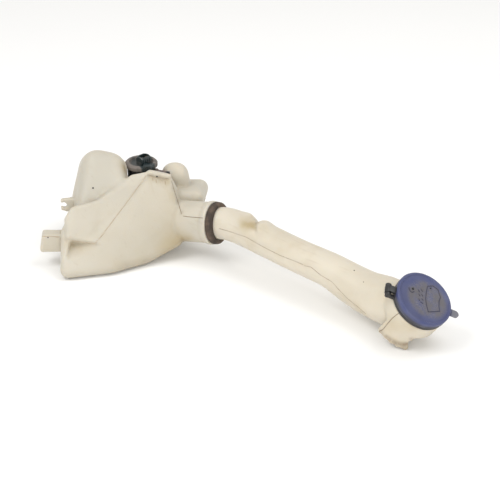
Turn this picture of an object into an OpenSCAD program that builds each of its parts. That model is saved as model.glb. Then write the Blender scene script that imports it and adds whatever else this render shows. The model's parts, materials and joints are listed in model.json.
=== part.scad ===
// Washer fluid reservoir with a filler neck, a hinged cap and a pump in a recess of the tank.
// It lies on its flat foot at z = 0. The filler neck runs along X from the tank to the cap.

/* [Tank] */
// Wall of the blown tank and neck
wall = 2.6; // [2.2:0.1:3.2]
// Rounding of the tank's lower edges
edge_r = 8; // [6:0.5:10]
// Length of the front panel's foot
panel_length = 102; // [94:1:108]
// Turn of the front panel's foot away from the tank's own X, in degrees
panel_turn = 18.4; // [15:0.1:21]
// Lean of the front panel from upright, in degrees
panel_lean = 19; // [16:0.5:22]
// Height of the ledge on top of the front panel
panel_height = 91; // [86:1:96]
// How far the upper left facet stands out at the lug
facet_out = 9; // [5:0.5:12]
// How far the front panel's foot bows out
belly = 11; // [8:0.5:13]
// Depth of the tank from its front corner to its back wall
tank_depth = 138; // [132:1:146]
// Width of the tank's foot at the back
back_width = 137; // [130:1:142]
// Height of the upper left lobe
lobe_height = 110; // [104:1:116]
// Height of the rear dome
dome_height = 83; // [80:1:90]
// Height of the right rear box
box_height = 60; // [57:1:64]
// How far the right rear box reaches along the tank's own X
box_reach = 156; // [152:1:160]
// Length of the locating lug on the left
lug_length = 24; // [18:1:28]
// Width of the locating lug
lug_width = 17; // [12:1:20]
// Height of the locating lug
lug_height = 21; // [16:1:24]
// Diameter of the hose clip's notch
clip_d = 6.4; // [5.6:0.2:7.2]

/* [Socket and seal] */
// Bore of the socket that takes the filler neck
socket_bore = 40.6; // [39.6:0.2:42]
// Length of the socket outside the tank
socket_length = 34; // [28:1:38]
// Height of the socket's mouth above the foot
socket_height = 41; // [39:0.5:43]
// Rise of the socket's axis in degrees
socket_rise = 8.2; // [6:0.2:10]
// Wall of the socket
socket_wall = 2.3; // [2:0.1:3]
// Width of the seal's outer lip
seal_lip = 8; // [6:0.5:9]

/* [Filler neck] */
// Outside diameter of the neck tube
neck_d = 35.6; // [34:0.2:36.4]
// Distance from the socket's mouth to the cap along the neck
neck_run = 277; // [268:1:286]
// Height of the neck's tube in its bulge before the mouth
bulge_h = 46; // [42:1:48]
// Angle of the mouth above level, in degrees
mouth_rise = 54.6; // [51:0.2:58]
// Sideways turn of the mouth, in degrees
mouth_turn = -2.4; // [-5:0.2:1]
// Height of the cap's top above the foot
mouth_height = 52; // [51:0.5:54]
// Outside diameter of the bowl under the cap
bowl_d = 59; // [57:0.5:61]
// Outside diameter of the spigot that the cap closes
spigot_d = 50; // [48:0.5:51]
// Length of the spigot above the bowl's shoulder
spigot_length = 9; // [8:0.5:11]
// Depth of the dent near the socket
dent_depth = 3; // [0:0.2:4]

/* [Cap] */
// Diameter of the cap
cap_d = 60; // [58:0.5:62]
// Thickness of the cap's top
cap_top = 2.8; // [2.4:0.1:3.2]
// Height of the cap's raised rim above its face
cap_rim = 1; // [0.6:0.1:1.4]
// Depth of the cap's plug inside the spigot
plug_depth = 5; // [4:0.25:6]
// Distance of the hinge pin from the cap's axis
hinge_reach = 36; // [35:0.25:38]
// Direction of the hinge round the mouth, in degrees
hinge_turn = 222; // [214:1:230]
// Diameter of the hinge pin
pin_d = 3; // [2.6:0.1:3.4]
// Length of the pull tab beyond the rim
tab_length = 11; // [8:0.5:13]
// Width of the pull tab
tab_width = 7.5; // [6:0.5:11]

/* [Pump] */
// Diameter of the pump's rim
rim_d = 36; // [35:0.2:37]
// Diameter of the pump's housing
housing_d = 31; // [30:0.2:32]
// Wall of the pump's housing
housing_wall = 1.8; // [1.5:0.1:2]
// Height of the pump's housing
housing_height = 52; // [49:0.5:54]
// Height of the rim
rim_height = 6; // [5:0.2:7]
// Radius of the recess that the pump stands in
well_r = 21; // [20.5:0.1:22]
// Height of the recess floor above the foot
floor_z = 26; // [25:0.5:28]
// Outside diameter of the outlet spigot
outlet_d = 6; // [5.4:0.1:6.6]
// Length of the outlet spigot
outlet_length = 14; // [12:0.5:15]
// Direction of the outlet spigot in the tank's own frame, in degrees
outlet_turn = -22; // [-25:1:-19]
// Diameter of the inlet tube
inlet_d = 13; // [12:0.2:14]
// Length of the inlet tube below the recess floor
inlet_length = 13; // [12:0.5:13.5]
// Height of the impeller chamber
chamber_height = 9; // [8.5:0.25:10]
// Diameter of the impeller
impeller_d = 20; // [18:0.2:21]
// Diameter of the motor shaft
shaft_d = 2.4; // [2:0.1:2.8]
// Width of the electric connector
connector_width = 13.4; // [12.5:0.1:14.5]
// Depth of the electric connector
connector_depth = 10.4; // [9.6:0.1:11.4]
// Height of the electric connector above the rim
connector_height = 6.5; // [6:0.5:10]
// Turn of the electric connector about the pump's axis, in degrees
connector_turn = 45; // [35:1:55]
// Wall of the electric connector
connector_wall = 1.5; // [1.2:0.1:1.8]

/* [Fit] */
// Gap between pieces that sit on each other
fit = 0.15; // [0.1:0.01:0.2]
// Gap between pieces that move past each other
run = 0.4; // [0.3:0.05:0.5]

// Gap between the motor shaft and its bushes
bearing_gap = 0.12; // [0.1:0.01:0.2]

/* [Hidden] */
ball_fn = 20;

// Footprint middle as seen from the socket's mouth
middle = [60.4, -47.3];
// Turn of the tank against the neck
tank_turn = 41.8;

// Panel geometry: u runs along the foot, z is height, out stands off the face
lean = tan(panel_lean);
face_n = [sin(panel_turn) * cos(panel_lean), -cos(panel_turn) * cos(panel_lean), sin(panel_lean)];
function face(u, z, out) = [u * cos(panel_turn) - z * lean * sin(panel_turn),
    u * sin(panel_turn) + z * lean * cos(panel_turn), z] + out * face_n;
function foot(u, back) = [u * cos(panel_turn) - back * sin(panel_turn),
    u * sin(panel_turn) + back * cos(panel_turn), edge_r];
function ball(p, r) = [p[0], p[1], p[2], r];
foot_in = edge_r * (lean + 1 / cos(panel_lean)) - 8;

// Place of the pump in the tank's own frame
pump_x = 83.7;
pump_y = tank_depth - 36.2;
housing_r = housing_d / 2;
bore_r = housing_r - housing_wall;

// Mouth of the socket in the tank's own frame, and the socket's direction there
socket_at = [167.1, 47.4, socket_height];
socket_turn = -25.2;
seat_r = socket_bore / 2;
socket_dir = [cos(socket_rise) * cos(socket_turn), cos(socket_rise) * sin(socket_turn), sin(socket_rise)];
socket_root = socket_at - (socket_length + 8) * socket_dir;
lip_r = seat_r + socket_wall + 1.5;

// Corner balls of the lobes that the tank is blown as
body = [
    ball(foot(edge_r, foot_in - belly * 0.65), edge_r),
    ball(foot(panel_length * 0.54, foot_in - belly), edge_r),
    ball(foot(panel_length - edge_r, foot_in - belly * 0.2), edge_r),
    ball([back_width - 12, 90, edge_r], edge_r),
    ball([back_width - edge_r, tank_depth - edge_r, edge_r], edge_r),
    ball([edge_r + 2, tank_depth - edge_r, edge_r], edge_r),
    ball(face(16, 44, 3 - edge_r), edge_r),
    ball(face(131, 45, 1.5), 7),
    ball(face(131, 20, 0.5), 8),
    ball(face(110, panel_height - 2, -4), 4),
    ball(face(132, panel_height - 7, -4), 4),
    ball([28, tank_depth - 14, 42], 12),
    ball([back_width - 14, tank_depth - 34, 22], 12)];
shoulder = [
    ball(socket_root, seat_r + socket_wall - 1.2),
    ball([112, 62, 36], 14)];
facet = [
    ball(face(14, 41, facet_out - 3), 3),
    ball(face(42, 33.5, facet_out - 4.2), 3),
    ball(face(15, 57, facet_out - 6.5), 3.5),
    ball(face(23, 66, 2.5), 4),
    ball(face(53, panel_height - 21.5, 0), 3.5),
    ball(face(27, 52, -24), 10),
    ball(face(56, panel_height - 30, -16), 8)];
facet_top = [
    ball(face(42, 33.5, facet_out - 4.2), 3),
    ball(face(106, panel_height + 0.5, -2), 3),
    ball(face(53, panel_height - 21.5, 0), 3.5),
    ball(face(92, panel_height - 1.5, -4), 4),
    ball(face(50, 60, -24), 10),
    ball(face(88, panel_height - 14, -14), 6)];
lobe = [
    ball([36, 86, lobe_height - 17], 17),
    ball([52, 86, lobe_height - 18], 14.6),
    ball([56, 80, lobe_height - 35], 14),
    ball([22, 80, lobe_height - 56], 15),
    ball([24, 50, lobe_height - 50], 8),
    ball([62, 62, lobe_height - 32], 8),
    ball([30, tank_depth - 22, lobe_height - 34], 18),
    ball([40, tank_depth - 22, lobe_height - 34], 18),
    ball([24, tank_depth - 16, 34], 14),
    ball([48, tank_depth - 16, 34], 14)];
dome = [
    ball([118.5, 112, dome_height - 14], 14),
    ball([121.5, 112, dome_height - 14], 14),
    ball([122, 116, box_height - 16], 14),
    ball([119, tank_depth - 16, 26], 13),
    ball([box_reach - 26, tank_depth - 16, 24], 13)];
box = [
    ball([box_reach - 12, 90, box_height - 9], 9),
    ball([122, 90, box_height - 9], 9),
    ball([box_reach - 9, tank_depth - 12, box_height - 14], 10),
    ball([122, tank_depth - 12, box_height - 14], 10),
    ball([box_reach - 22, 104, 20], 12)];

// Corners of the hollow under the facet, which is taken out of the tank
pocket = [
    ball(face(13.5, 38, facet_out + 2.5), 1),
    ball(face(51, 28.5, facet_out + 4), 1),
    ball(face(3, 12, facet_out + 5.5), 1),
    ball(face(18, 32, facet_out - 8.5), 1.5)];

// Ball with its poles at full radius, so that the foot lies at z = 0
module round_ball(r) {
    rotate_extrude($fn = ball_fn) {
        polygon([for (k = [0:10]) [r * cos(18 * k - 90), r * sin(18 * k - 90)]]);
    }
}

module balls(list, grow) {
    hull() {
        for (b = list) {
            translate([b[0], b[1], b[2]]) {
                round_ball(b[3] + grow);
            }
        }
    }
}

// Moves children so that their Z runs along a direction given by turn and rise
module along(at, turn, rise) {
    translate(at) {
        rotate([0, 90 - rise, turn]) {
            children();
        }
    }
}

module in_model() {
    translate([-middle[0], -middle[1], 0]) {
        children();
    }
}

module in_tank() {
    in_model() {
        rotate([0, 0, tank_turn]) {
            translate([-socket_at[0], -socket_at[1], 0]) {
                children();
            }
        }
    }
}

module in_socket() {
    in_tank() {
        along(socket_at, socket_turn, socket_rise) {
            children();
        }
    }
}

module in_pump() {
    in_tank() {
        translate([pump_x, pump_y, floor_z]) {
            children();
        }
    }
}

// Space of the pump's recess, open at the top and the back
module well(grow) {
    hull() {
        translate([pump_x, pump_y, floor_z - grow]) {
            cylinder(h = 120, r = well_r + grow, $fn = 40);
        }
        translate([pump_x, pump_y + 60, floor_z - grow]) {
            cylinder(h = 120, r = well_r + grow, $fn = 40);
        }
    }
}

module lobes(grow) {
    balls(body, grow);
    balls(shoulder, grow);
    balls(facet, grow);
    balls(facet_top, grow);
    balls(lobe, grow);
    balls(dome, grow);
    balls(box, grow);
}

module lug() {
    hull() {
        translate([-lug_length + 3, 26, 19]) {
            sphere(r = 2.5, $fn = 12);
        }
        translate([-lug_length + 2, 26 + lug_width - 5, 19]) {
            sphere(r = 2.5, $fn = 12);
        }
        translate([-lug_length + 6, 26, 19 + lug_height - 5]) {
            sphere(r = 2.5, $fn = 12);
        }
        translate([-lug_length + 5, 26 + lug_width - 5, 19 + lug_height - 5]) {
            sphere(r = 2.5, $fn = 12);
        }
        translate([10, 26, 17]) {
            cube([4, lug_width - 5, lug_height]);
        }
    }
}

module clip() {
    difference() {
        hull() {
            translate([-3, 62, 49]) {
                cube([2, 4, 13]);
            }
            translate([14, 60, 46]) {
                cube([2, 8, 18]);
            }
        }
        translate([0.5, 64, 55.5]) {
            rotate([90, 0, 0]) {
                cylinder(h = 20, d = clip_d, center = true, $fn = 20);
            }
        }
        translate([-6, 54, 55.5 - clip_d * 0.36]) {
            cube([6.5, 20, clip_d * 0.72]);
        }
    }
}

module ledge() {
    difference() {
        hull() {
            translate(face(111, panel_height + 2, 0)) {
                cylinder(h = 2.4, r = 3, $fn = 16);
            }
            translate(face(132, panel_height - 5, 0)) {
                cylinder(h = 2.4, r = 3, $fn = 16);
            }
            translate(face(118, panel_height - 2, -9)) {
                cylinder(h = 2.4, r = 4, $fn = 16);
            }
        }
        translate(face(119, panel_height - 2, 0)) {
            cylinder(h = 20, r = 1.2, $fn = 12, center = true);
        }
    }
}

module tank() {
    color([0.87, 0.84, 0.77]) {
        in_tank() {
            difference() {
                union() {
                    difference() {
                        union() {
                            lobes(0);
                            along(socket_at, socket_turn, socket_rise) {
                                translate([0, 0, -socket_length - 16]) {
                                    cylinder(h = socket_length + 14, r = seat_r + socket_wall, $fn = 48);
                                }
                                translate([0, 0, -10]) {
                                    cylinder(h = 4, r1 = seat_r + socket_wall, r2 = lip_r, $fn = 48);
                                }
                                translate([0, 0, -6]) {
                                    cylinder(h = 4, r = lip_r, $fn = 48);
                                }
                            }
                        }
                        well(0);
                        balls(pocket, 0);
                    }
                    lug();
                    clip();
                    ledge();
                }
                difference() {
                    lobes(-wall);
                    well(wall);
                    balls(pocket, wall);
                }
                along(socket_at, socket_turn, socket_rise) {
                    translate([0, 0, -22]) {
                        cylinder(h = 30, r = seat_r, $fn = 48);
                    }
                    translate([0, 0, -socket_length - 24]) {
                        cylinder(h = socket_length + 10, r = seat_r - 2.6, $fn = 48);
                    }
                }
                translate([pump_x, pump_y, floor_z - 10]) {
                    cylinder(h = 20, r = inlet_d / 2 + 4, $fn = 32);
                }
            }
        }
    }
}

module neck_seal() {
    color([0.42, 0.37, 0.32]) {
        in_socket() {
            rotate_extrude($fn = 64) {
                polygon([[neck_d / 2 + fit, -4], [neck_d / 2 + fit, -16], [seat_r - fit, -16], [seat_r - fit, -2 + fit],
                    [lip_r - 1.6, -2 + fit], [lip_r - 0.8, 0], [lip_r - 1.2, seal_lip - 4],
                    [lip_r - 3, seal_lip - 2], [neck_d / 2 + 0.6, seal_lip - 2]]);
            }
        }
    }
}

// Middle line of the neck: place, width and height of the tube at each station
sock_dir = [cos(socket_rise) * cos(socket_turn + tank_turn),
    cos(socket_rise) * sin(socket_turn + tank_turn), sin(socket_rise)];
mouth_dir = [cos(mouth_rise) * cos(mouth_turn), cos(mouth_rise) * sin(mouth_turn), sin(mouth_rise)];
cap_at = [neck_run, 1.4, mouth_height];
mouth_at = cap_at - (cap_top + fit) * mouth_dir;
neck_y = 3.6;
start = [0, 0, socket_height];
function st(p, w, h) = [p[0], p[1], p[2], w, h];
ctrl = [
    st(start - 30 * sock_dir, neck_d, neck_d),
    st(start - 15 * sock_dir, neck_d, neck_d),
    st(start, neck_d, neck_d),
    st(start + 14 * sock_dir, neck_d, neck_d),
    st([36, neck_y + 1, socket_height + 3], neck_d + 0.6, neck_d),
    st([74, neck_y, socket_height + 1.4], neck_d + 1, neck_d - 0.6),
    st([(neck_run - 45) / 2, neck_y, socket_height - 1.2], neck_d + 1, neck_d - 0.6),
    st([(neck_run + 37) / 2, neck_y, socket_height - 2.6], neck_d + 2, neck_d + 0.8),
    st([neck_run - 93, neck_y, mouth_height - 18.6], neck_d + 5, bulge_h - 4.2),
    st([neck_run - 69, neck_y, mouth_height - 21.6], neck_d + 9, bulge_h - 1.2),
    st([neck_run - 44, neck_y, mouth_height - 21.2], neck_d + 12, bulge_h + 3),
    st([neck_run - 23, neck_y, mouth_height - 24.5], neck_d + 10, bulge_h - 0.5),
    st([neck_run - 7, neck_y, mouth_height - 31], neck_d + 6, bulge_h - 8)];
steps = 4;
sides = 28;
function spline(a, b, c, d, t) = 0.5 * (2 * b + (c - a) * t + (2 * a - 5 * b + 4 * c - d) * t * t
    + (3 * b - a - 3 * c + d) * t * t * t);
stations = [for (i = [1:len(ctrl) - 3]) for (k = [0:steps - 1])
    spline(ctrl[i - 1], ctrl[i], ctrl[i + 1], ctrl[i + 2], k / steps)];
function place(i) = [stations[i][0], stations[i][1], stations[i][2]];
function unit(v) = v / norm(v);
function tangent(i) = unit(place(min(i + 1, len(stations) - 1)) - place(max(i - 1, 0)));
function dent(x, a) = dent_depth * exp(-pow((x - 42) / 9, 2)) * pow(max(0, cos(a - 112)), 2)
    - 0.5 * dent_depth * exp(-pow((x - 60) / 6, 2)) * pow(max(0, cos(a - 100)), 2);
function hoop(i, grow) = let(t = tangent(i), s = unit(cross(t, [0, 0, 1])), u = cross(s, t))
    [for (k = [0:sides - 1]) let(a = 360 * k / sides)
        place(i) - (i == 0 && grow < 0 ? 2 : 0) * t + s * cos(a) * (stations[i][3] / 2 + grow - dent(place(i)[0], a))
        + u * sin(a) * (stations[i][4] / 2 + grow - dent(place(i)[0], a))];

module tube(grow, first) {
    n = len(stations) - first;
    pts = [for (i = [first:len(stations) - 1]) each hoop(i, grow)];
    caps = [[for (k = [sides - 1:-1:0]) k], [for (k = [0:sides - 1]) (n - 1) * sides + k]];
    walls = [for (i = [0:n - 2]) for (k = [0:sides - 1])
        let(a = i * sides + k, b = i * sides + (k + 1) % sides) [a, b, b + sides, a + sides]];
    polyhedron(points = pts, faces = concat(caps, walls), convexity = 6);
}

module in_mouth() {
    in_model() {
        along(mouth_at, mouth_turn, mouth_rise) {
            children();
        }
    }
}

bowl_r = bowl_d / 2;
spigot_r = spigot_d / 2;

// Outline of the mouth from the spigot's top to the bowl's bottom
module bowl(grow) {
    rotate_extrude($fn = 56) {
        polygon([[0, -42 - grow], [12 + grow, -42 - grow], [19 + grow, -39 - grow * 0.7], [24 + grow, -33],
            [bowl_r - 2 + grow, -28], [bowl_r + grow, -25], [bowl_r + grow, -spigot_length - 0.6 + grow * 1.2],
            [bowl_r - 0.6 + grow, -spigot_length + grow * 1.2],
            [spigot_r + grow, -spigot_length + grow * 1.2], [spigot_r + grow, 0], [0, 0]]);
    }
}

// Curved apron that hangs from the bowl on the viewer's side
module apron() {
    for (k = [0:9]) {
        hull() {
            apron_post(-104 + 6.6 * k);
            apron_post(-104 + 6.6 * (k + 1));
        }
    }
}

module apron_post(a) {
    drop = 47.5 - 2 * (a + 104) / 66;
    rotate([0, 0, a]) {
        translate([bowl_r - wall, -0.1, -drop]) {
            cube([wall, 0.2, drop - 20]);
        }
    }
}

module filler_neck() {
    color([0.88, 0.85, 0.78]) {
        difference() {
            union() {
                in_model() {
                    tube(0, 0);
                }
                in_mouth() {
                    bowl(0);
                    apron();
                }
            }
            in_model() {
                tube(-wall, 0);
                translate([150, -100, -50]) {
                    cube([200, 200, 50]);
                }
            }
            in_mouth() {
                bowl(-wall);
                translate([0, 0, -15]) {
                    cylinder(h = 30, r = spigot_r - wall, $fn = 56);
                }
            }
        }
    }
}

// Heights in the mouth's frame, where z = 0 is the spigot's top
ring_top = -spigot_length + fit + 4;
skirt_end = ring_top + run;
pin_z = ring_top - 1.2;
ear_w = 3;
knuckle_w = 7;
ear_r = 3.8;

module cap_ring() {
    color([0.09, 0.09, 0.1]) {
        in_mouth() {
            difference() {
                union() {
                    rotate_extrude($fn = 72) {
                        polygon([[spigot_r + fit, -spigot_length + fit], [bowl_r - 0.7, -spigot_length + fit],
                            [bowl_r, -spigot_length + 1], [bowl_r, ring_top - 0.6], [bowl_r - 0.6, ring_top],
                            [spigot_r + fit, ring_top]]);
                    }
                    rotate([0, 0, hinge_turn]) {
                        for (s = [-1, 1]) {
                            translate([0, s * (knuckle_w / 2 + run + ear_w / 2), 0]) {
                                translate([hinge_reach, 0, pin_z]) {
                                    rotate([90, 0, 0]) {
                                        cylinder(h = ear_w, r = ear_r - 0.8, center = true, $fn = 32);
                                    }
                                }
                                translate([bowl_r - 2.5, -ear_w / 2, -spigot_length + fit + 0.3]) {
                                    cube([hinge_reach - bowl_r + 2.5, ear_w, 3.4]);
                                }
                            }
                        }
                    }
                }
                rotate([0, 0, hinge_turn]) {
                    translate([hinge_reach, 0, pin_z]) {
                        rotate([90, 0, 0]) {
                            cylinder(h = 40, d = pin_d + 0.1, center = true, $fn = 32);
                        }
                    }
                }
            }
        }
    }
}

module cap() {
    rim_r = cap_d / 2;
    color([0.33, 0.38, 0.66]) {
        in_mouth() {
            difference() {
                union() {
                    rotate_extrude($fn = 80) {
                        polygon([[0, fit], [spigot_r + 1, fit], [rim_r - 2.4, fit], [rim_r - 2.4, skirt_end],
                            [rim_r, skirt_end], [rim_r, fit + cap_top - 1], [rim_r - 1, fit + cap_top],
                            [rim_r - 2.6, fit + cap_top], [rim_r - 3.4, fit + cap_top - cap_rim],
                            [0, fit + cap_top - cap_rim]]);
                    }
                    difference() {
                        translate([0, 0, -plug_depth]) {
                            cylinder(h = plug_depth + fit + 0.5, r1 = spigot_r - wall - 1.6,
                                r2 = spigot_r - wall - 0.6, $fn = 72);
                        }
                        translate([0, 0, -plug_depth - 1]) {
                            cylinder(h = plug_depth + fit + 1, r = spigot_r - wall - 3.4, $fn = 72);
                        }
                    }
                    rotate([0, 0, hinge_turn]) {
                        translate([hinge_reach, 0, pin_z]) {
                            rotate([90, 0, 0]) {
                                cylinder(h = knuckle_w, r = ear_r - 0.4, center = true, $fn = 32);
                            }
                        }
                        translate([rim_r - 2, -knuckle_w / 2, skirt_end]) {
                            cube([hinge_reach - rim_r + 2, knuckle_w, 2.8]);
                        }
                    }
                    rotate([0, 0, hinge_turn + 180]) {
                        translate([rim_r - 2, -tab_width / 2, skirt_end + 0.4]) {
                            cube([tab_length + 2 - tab_width / 2, tab_width, 2.2]);
                        }
                        translate([rim_r + tab_length - tab_width / 2, 0, skirt_end + 0.4]) {
                            cylinder(h = 2.2, r = tab_width / 2, $fn = 40);
                        }
                    }
                }
                rotate([0, 0, hinge_turn]) {
                    translate([hinge_reach, 0, pin_z]) {
                        rotate([90, 0, 0]) {
                            cylinder(h = 40, d = pin_d + 2 * 0.3, center = true, $fn = 32);
                        }
                    }
                }
            }
        }
    }
}

module hinge_pin() {
    color([0.2, 0.2, 0.21]) {
        in_mouth() {
            rotate([0, 0, hinge_turn]) {
                translate([hinge_reach, 0, pin_z]) {
                    rotate([90, 0, 0]) {
                        cylinder(h = knuckle_w + 2 * run + 2 * ear_w, d = pin_d, center = true, $fn = 32);
                    }
                }
            }
        }
    }
}

// Heights in the pump's frame, where z = 0 is the recess floor
base_z = 3 + fit;
house_z = base_z + 3;
part_z = house_z + chamber_height;
top_z = house_z + housing_height;
inlet_r = inlet_d / 2;
hole_r = inlet_r + 4;
yoke_r = bore_r - fit;
magnet_out = yoke_r - 1.4 - fit;
magnet_in = magnet_out - 2.8;
rotor_r = magnet_in - run;
shaft_r = shaft_d / 2;
core_z = part_z + 9;
core_h = top_z - part_z - 24;
comm_z = core_z + core_h + 4;

module pump_grommet() {
    color([0.12, 0.12, 0.12]) {
        in_pump() {
            rotate_extrude($fn = 48) {
                polygon([[inlet_r + fit, -wall - 3], [hole_r + 1, -wall - 3], [hole_r + 2, -wall - fit],
                    [hole_r - fit, -wall - fit], [hole_r - fit, fit], [hole_r + 3, fit], [hole_r + 3, 2],
                    [hole_r + 2, 3], [inlet_r + fit, 3]]);
            }
        }
    }
}

module inlet_strainer() {
    color([0.85, 0.85, 0.82]) {
        in_pump() {
            difference() {
                translate([0, 0, -inlet_length - 6]) {
                    cylinder(h = 12, r = inlet_r + 1.6, $fn = 40);
                }
                translate([0, 0, -inlet_length - 4.6]) {
                    cylinder(h = 12, r = inlet_r + fit, $fn = 40);
                }
                for (k = [0:5]) {
                    rotate([0, 0, 60 * k]) {
                        translate([inlet_r, 0, -inlet_length - 2.2]) {
                            cube([6, 3, 3.4], center = true);
                        }
                    }
                }
            }
        }
    }
}

module inlet_cover() {
    color([0.1, 0.1, 0.11]) {
        in_pump() {
            difference() {
                union() {
                    translate([0, 0, -inlet_length]) {
                        cylinder(h = inlet_length + base_z + 1, r = inlet_r, $fn = 48);
                    }
                    translate([0, 0, base_z]) {
                        cylinder(h = 3 - fit, r = housing_r, $fn = 64);
                    }
                    translate([0, 0, base_z]) {
                        cylinder(h = 4.2, r = bore_r - fit, $fn = 64);
                    }
                }
                translate([0, 0, -20]) {
                    cylinder(h = 40, r = inlet_r - 2.4, $fn = 40);
                }
            }
        }
    }
}

riser_r = outlet_d / 2 + 0.2;
collar_r = riser_r + 0.8;
outlet_z = top_z - collar_r;
riser_at = housing_r + 0.6;

module pump_housing() {
    color([0.08, 0.08, 0.09]) {
        in_pump() {
            difference() {
                union() {
                    translate([0, 0, house_z]) {
                        cylinder(h = housing_height, r = housing_r, $fn = 64);
                    }
                    rotate([0, 0, outlet_turn]) {
                        translate([riser_at, 0, house_z + 2]) {
                            cylinder(h = outlet_z - house_z - 2, r = riser_r, $fn = 32);
                        }
                        translate([riser_at, 0, outlet_z]) {
                            rotate([0, 90, 0]) {
                                cylinder(h = outlet_length + riser_r, d = outlet_d, $fn = 40);
                                cylinder(h = riser_r, r = collar_r, $fn = 40);
                            }
                        }
                    }
                }
                translate([0, 0, house_z - 1]) {
                    cylinder(h = part_z - house_z + 1, r = bore_r, $fn = 64);
                }
                translate([0, 0, part_z + 2]) {
                    cylinder(h = housing_height, r = bore_r, $fn = 64);
                }
                translate([0, 0, part_z - 1]) {
                    cylinder(h = 5, r = shaft_r + 2.4, $fn = 32);
                }
                rotate([0, 0, outlet_turn]) {
                    translate([riser_at, 0, part_z - 4.5]) {
                        cylinder(h = outlet_z - part_z + 4.5, r = 1.8, $fn = 24);
                    }
                    translate([riser_at - 8, 0, part_z - 4]) {
                        rotate([0, 90, 0]) {
                            cylinder(h = 8, r = 1.8, $fn = 24);
                        }
                    }
                    translate([riser_at, 0, outlet_z]) {
                        rotate([0, 90, 0]) {
                            cylinder(h = outlet_length + 20, r = outlet_d / 2 - 1.2, $fn = 24);
                        }
                    }
                }
            }
        }
    }
}

rim_r0 = rim_d / 2;
connector_top = rim_height + connector_height;
connector_x = 3;
blade_w = 2.8;
blade_t = 0.8;
blade_at = 3;

module in_connector() {
    translate([connector_x, 0, 0]) {
        rotate([0, 0, connector_turn]) {
            children();
        }
    }
}

// Shroud of the connector: a block with a hipped top and upright ribs on its right face
module connector() {
    in_connector() {
        intersection() {
            translate([0, 0, connector_top / 2]) {
                cube([connector_width, connector_depth, connector_top], center = true);
            }
            translate([0, 0, -1]) {
                cylinder(h = connector_top + 1.6, r1 = connector_width + 6, r2 = connector_depth / 2 + 0.6, $fn = 48);
            }
        }
        for (k = [0:3]) {
            translate([connector_width * (k - 1.5) / 4.6, -connector_depth / 2, connector_top / 2 - 0.8]) {
                cube([1, 1.4, connector_top - 3.2], center = true);
            }
        }
    }
}

// Ribbed block in front of the connector, over the rim
module latch() {
    intersection() {
        union() {
            translate([7.2, -rim_r0 + 6.6, rim_height / 2 + 0.8]) {
                cube([8.4, 9.6, rim_height - 0.4], center = true);
            }
            for (k = [0:3]) {
                translate([4 + 2.1 * k, -rim_r0 + 4, rim_height / 2 + 0.8]) {
                    cube([0.9, 8, rim_height - 0.8], center = true);
                }
            }
        }
        cylinder(h = 60, r = rim_r0 + 0.5, $fn = 72, center = true);
    }
}

module end_cap() {
    color([0.12, 0.14, 0.15]) {
        in_pump() {
            translate([0, 0, top_z + fit]) {
                difference() {
                    union() {
                        rotate_extrude($fn = 72) {
                            polygon([[0, 0], [rim_r0 - 1.2, 0], [rim_r0, 1.2], [rim_r0, rim_height - 1.6],
                                [rim_r0 - 1.6, rim_height], [rim_r0 - 4.4, rim_height],
                                [rim_r0 - 5.2, rim_height - 2.4], [0, rim_height - 2.4]]);
                        }
                        translate([0, 0, -4]) {
                            cylinder(h = 5, r = bore_r - fit, $fn = 64);
                        }
                        connector();
                        latch();
                    }
                    in_connector() {
                        translate([0, 0, connector_top]) {
                            cube([connector_width - 2 * connector_wall, connector_depth - 2 * connector_wall,
                                2 * connector_height + 4], center = true);
                        }
                        for (s = [-1, 1]) {
                            translate([s * blade_at, 0, 0]) {
                                cube([blade_w + 2 * fit, blade_t + 2 * fit, 30], center = true);
                            }
                        }
                    }
                    translate([0, 0, -5]) {
                        cylinder(h = 5, r = 4 + fit, $fn = 32);
                    }
                }
            }
        }
    }
}

module terminals() {
    color([0.75, 0.66, 0.4]) {
        in_pump() {
            in_connector() {
                for (s = [-1, 1]) {
                    translate([s * blade_at, 0, top_z + 0.6 + (connector_top - 2) / 2]) {
                        cube([blade_w, blade_t, connector_top - 2], center = true);
                    }
                }
            }
        }
    }
}

module motor_yoke() {
    color([0.55, 0.56, 0.58]) {
        in_pump() {
            difference() {
                translate([0, 0, part_z + 2 + fit]) {
                    cylinder(h = top_z - part_z - 8, r = yoke_r, $fn = 64);
                }
                translate([0, 0, part_z + 1]) {
                    cylinder(h = top_z, r = yoke_r - 1.4, $fn = 64);
                }
            }
        }
    }
}

module magnets() {
    color([0.23, 0.23, 0.24]) {
        in_pump() {
            difference() {
                translate([0, 0, core_z - 2]) {
                    cylinder(h = core_h + 4, r = magnet_out, $fn = 64);
                }
                translate([0, 0, core_z - 4]) {
                    cylinder(h = core_h + 8, r = magnet_in, $fn = 64);
                }
                translate([0, 0, core_z + core_h / 2]) {
                    cube([6, 60, core_h + 8], center = true);
                }
            }
        }
    }
}

module armature() {
    color([0.48, 0.48, 0.5]) {
        in_pump() {
            difference() {
                translate([0, 0, core_z]) {
                    cylinder(h = core_h, r = rotor_r, $fn = 64);
                }
                for (k = [0:2]) {
                    rotate([0, 0, 120 * k + 60]) {
                        translate([rotor_r * 0.6, 0, core_z - 1]) {
                            cylinder(h = core_h + 2, r = rotor_r * 0.26, $fn = 32);
                        }
                        translate([rotor_r * 0.6, -0.7, core_z - 1]) {
                            cube([rotor_r, 1.4, core_h + 2]);
                        }
                    }
                }
                translate([0, 0, core_z - 1]) {
                    cylinder(h = core_h + 2, r = shaft_r + 0.02, $fn = 32);
                }
            }
        }
    }
}

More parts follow.
